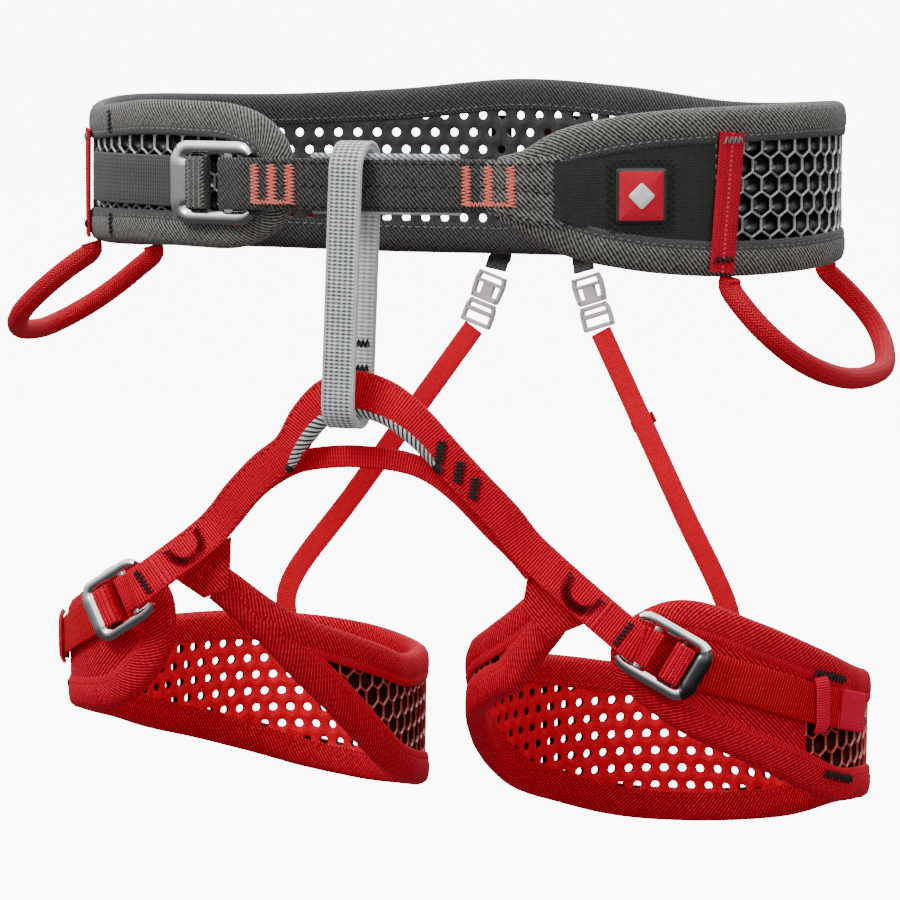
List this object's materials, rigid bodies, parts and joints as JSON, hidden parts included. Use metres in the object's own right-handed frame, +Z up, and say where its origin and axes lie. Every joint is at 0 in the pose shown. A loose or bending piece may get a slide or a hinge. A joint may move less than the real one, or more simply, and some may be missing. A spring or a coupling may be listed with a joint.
{
  "type": "climbing harness",
  "caption": "A soft climbing harness: padded waist belt and leg loops of perforated mesh, double-back buckles, a belay loop, gear loops and elastic risers.",
  "frame": {"origin": "The middle of the waist belt, halfway between its front and its back and at the height of its middle.", "axes": "+Z up, the front (belay loop) faces -Y, and the wearer's left is +X."},
  "size_m": [0.3845, 0.2505, 0.3245],
  "materials": {
    "charcoal": "woven",
    "black": "woven mesh",
    "red": "woven",
    "dark_red": "ribbed webbing and mesh",
    "grey": "ribbed webbing",
    "alloy": "polished",
    "plastic": "satin"
  },
  "bodies": {
    "belt": {"waist_foam": "black", "waist_mesh": "black", "waist_binding": "charcoal", "wing_panel": "black", "wing_patch": "red", "waist_tail": "charcoal", "tie_in_sleeve": "grey", "waist_strap": "charcoal", "gear_strip_right_front": "red", "gear_strip_right_rear": "red", "gear_strip_left_front": "red", "gear_strip_left_rear": "red", "haul_loop": "red", "riser_stub_right": "charcoal", "riser_socket_right": "plastic", "riser_plug_right": "plastic", "riser_stub_left": "charcoal", "riser_socket_left": "plastic", "riser_plug_left": "plastic"},
    "belay": {"belay_loop": "grey"},
    "legs": {"leg_webbing": "red", "cross_webbing": "red", "arch_sleeve": "grey", "leg_foam_right": "dark_red", "leg_mesh_right": "dark_red", "leg_binding_right": "red", "leg_tail_right": "dark_red", "leg_keeper_right": "red", "leg_tab_right": "red", "riser_strap_right": "red", "riser_keeper_right": "dark_red", "leg_foam_left": "dark_red", "leg_mesh_left": "dark_red", "leg_binding_left": "red", "leg_tail_left": "dark_red", "leg_keeper_left": "red", "leg_tab_left": "red", "riser_strap_left": "red", "riser_keeper_left": "dark_red"},
    "waist_frame": {"waist_buckle_frame": "alloy"},
    "waist_slider": {"waist_buckle_slider": "alloy", "waist_buckle_wrap": "charcoal"},
    "leg_frame_right": {"leg_buckle_right_frame": "alloy"},
    "leg_slider_right": {"leg_buckle_right_slider": "alloy", "leg_buckle_right_wrap": "red"},
    "leg_frame_left": {"leg_buckle_left_frame": "alloy"},
    "leg_slider_left": {"leg_buckle_left_slider": "alloy", "leg_buckle_left_wrap": "red"},
    "gear_front_right": {"gear_loop_front_right": "red"},
    "gear_front_left": {"gear_loop_front_left": "red"},
    "gear_rear_right": {"gear_loop_rear_right": "red"},
    "gear_rear_left": {"gear_loop_rear_left": "red"}
  },
  "joints": [
    {"name": "belay_swing", "type": "hinge", "parent": "belt", "child": "belay", "pos_m": [0, -0.1105, 0.0012], "axis": [-1, 0, 0], "range_deg": [0, 6], "stiffness_Nm_per_rad": 3, "springref_deg": -14.32},
    {"name": "leg_swing", "type": "hinge", "parent": "belay", "child": "legs", "pos_m": [0, -0.108, -0.0837], "axis": [-1, 0, 0], "range_deg": [0, 6], "stiffness_Nm_per_rad": 3, "springref_deg": -14.32},
    {"name": "waist_frame_tilt", "type": "hinge", "parent": "belt", "child": "waist_frame", "pos_m": [-0.05741, -0.11153, 0.0012], "axis": [0, 0, 1], "range_deg": [0, 9]},
    {"name": "waist_slider_slide", "type": "slide", "parent": "waist_frame", "child": "waist_slider", "axis": [0.9543, -0.2989, 0], "range_m": [0, 0.006]},
    {"name": "leg_frame_tilt_right", "type": "hinge", "parent": "legs", "child": "leg_frame_right", "pos_m": [-0.10758, -0.10124, -0.1671], "axis": [-0.4805, 0.1381, 0.866], "range_deg": [0, 9]},
    {"name": "leg_slider_slide_right", "type": "slide", "parent": "leg_frame_right", "child": "leg_slider_right", "axis": [0.8323, -0.2392, 0.5], "range_m": [0, 0.0045]},
    {"name": "leg_frame_tilt_left", "type": "hinge", "parent": "legs", "child": "leg_frame_left", "pos_m": [0.11072, -0.09048, -0.1786], "axis": [-0.4775, -0.1484, -0.866], "range_deg": [0, 9]},
    {"name": "leg_slider_slide_left", "type": "slide", "parent": "leg_frame_left", "child": "leg_slider_left", "axis": [-0.827, -0.257, 0.5], "range_m": [0, 0.0045]},
    {"name": "gear_swing_front_right", "type": "hinge", "parent": "belt", "child": "gear_front_right", "pos_m": [-0.15289, -0.00797, -0.03013], "axis": [-0.1013, 0.992, -0.0755], "range_deg": [-8, 55], "stiffness_Nm_per_rad": 0.3},
    {"name": "gear_swing_front_left", "type": "hinge", "parent": "belt", "child": "gear_front_left", "pos_m": [0.13983, -0.00511, -0.03503], "axis": [-0.0717, -0.9974, -0.0034], "range_deg": [-8, 55], "stiffness_Nm_per_rad": 0.3},
    {"name": "gear_swing_rear_right", "type": "hinge", "parent": "belt", "child": "gear_rear_right", "pos_m": [-0.10311, 0.08596, -0.008], "axis": [0.8506, 0.5258, 0], "range_deg": [-5, 55], "stiffness_Nm_per_rad": 0.3},
    {"name": "gear_swing_rear_left", "type": "hinge", "parent": "belt", "child": "gear_rear_left", "pos_m": [0.08857, 0.09504, -0.008], "axis": [0.9018, -0.4322, 0], "range_deg": [-5, 55], "stiffness_Nm_per_rad": 0.3}
  ]
}
